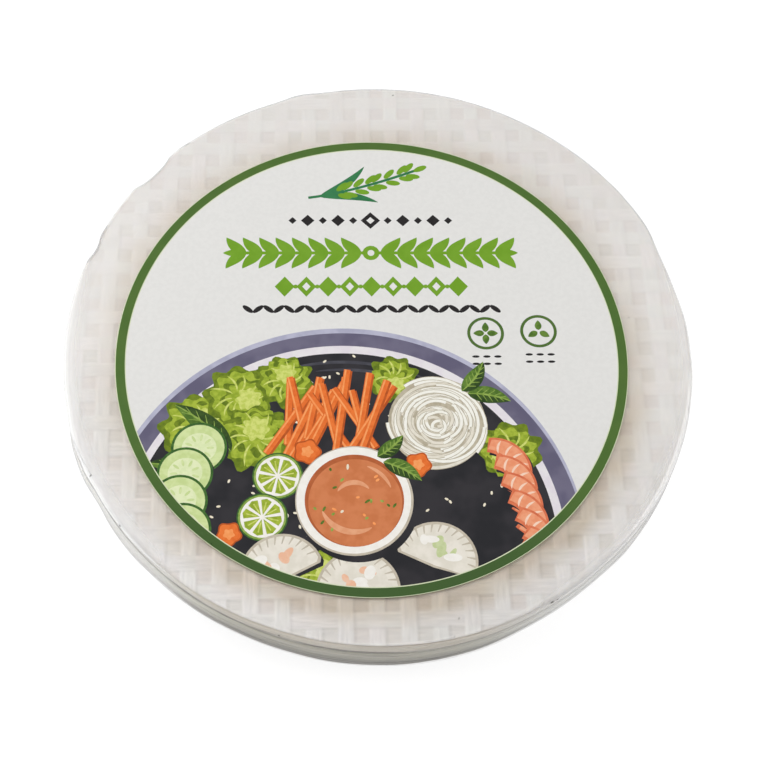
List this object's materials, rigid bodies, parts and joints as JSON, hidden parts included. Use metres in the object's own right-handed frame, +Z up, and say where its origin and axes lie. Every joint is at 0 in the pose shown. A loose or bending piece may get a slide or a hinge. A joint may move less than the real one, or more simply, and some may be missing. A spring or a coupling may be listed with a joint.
{
  "type": "rice paper wrapper stack",
  "caption": "Low round pack of dry rice paper wrappers, shrink-wrapped in clear film, with a round printed label on top.",
  "frame": {"origin": "middle of the pack's flat base, on the surface it lies on", "axes": "+Z up through the thickness, +Y away from the viewer towards the top of the label, +X to the label's right"},
  "size_m": [0.2243, 0.225, 0.0212],
  "materials": {
    "rice_paper": "matt, slightly translucent, with a pressed mat weave",
    "clear_film": "clear thin shrink film, glossy",
    "label_card": "coated card with a satin print"
  },
  "bodies": {
    "root": {"wrapped_stack": "rice_paper", "label_disc": "label_card"}
  },
  "joints": []
}
